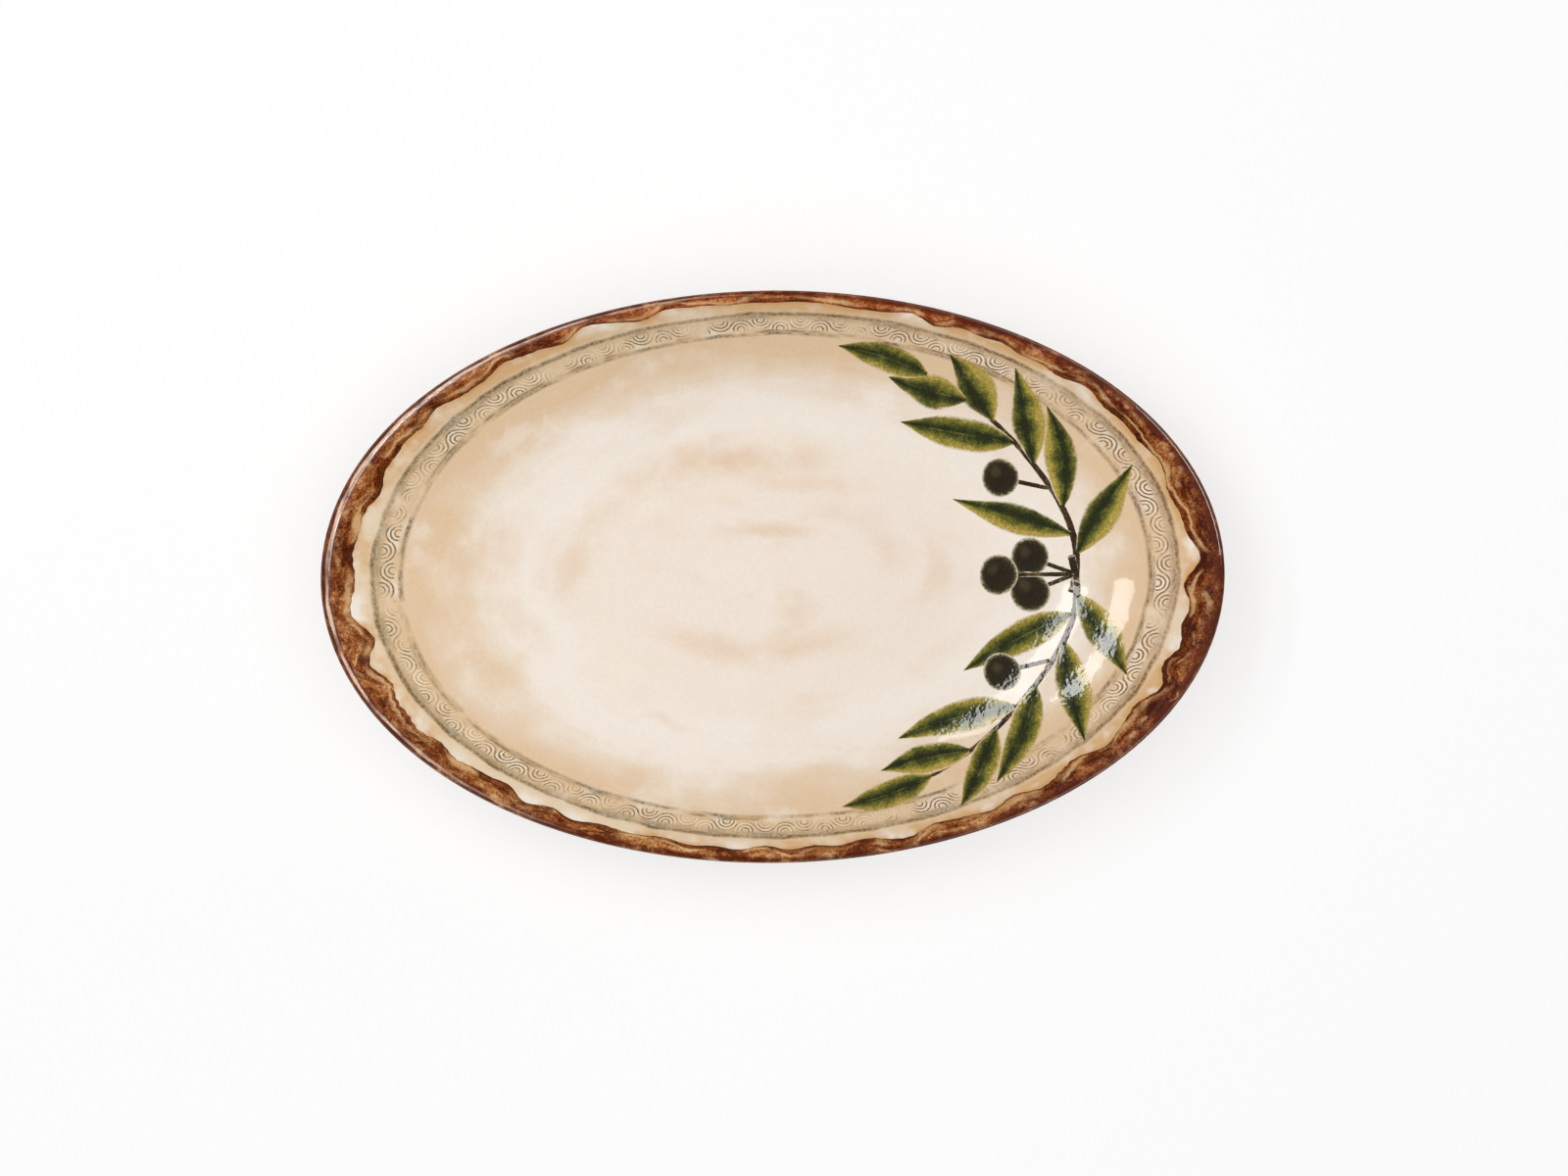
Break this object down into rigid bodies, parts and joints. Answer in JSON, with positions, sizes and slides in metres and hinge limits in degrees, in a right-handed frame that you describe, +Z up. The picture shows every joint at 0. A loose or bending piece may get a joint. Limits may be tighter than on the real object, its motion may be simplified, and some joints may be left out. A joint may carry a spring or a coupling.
{
  "type": "oval serving dish",
  "caption": "Shallow oval glazed stoneware dish with a continuous curved wall, rounded brown lip and bare foot ring, for serving olives and other small food.",
  "frame": {"origin": "centre of the oval, on the plane of the table that the foot ring stands on", "axes": "+X along the dish, towards the decorated end; +Y across it; +Z up, out of the well"},
  "size_m": [0.24, 0.152, 0.03],
  "materials": {
    "clay": "bare fired clay",
    "cream_glaze": "gloss, brushed cream and tan",
    "brown_glaze": "gloss, mottled brown",
    "back_glaze": "gloss, plain buff"
  },
  "bodies": {
    "root": {"clay_body": "clay", "face_glaze": "cream_glaze", "rim_glaze": "brown_glaze", "back_glaze": "back_glaze", "base_glaze": "back_glaze"}
  },
  "joints": []
}
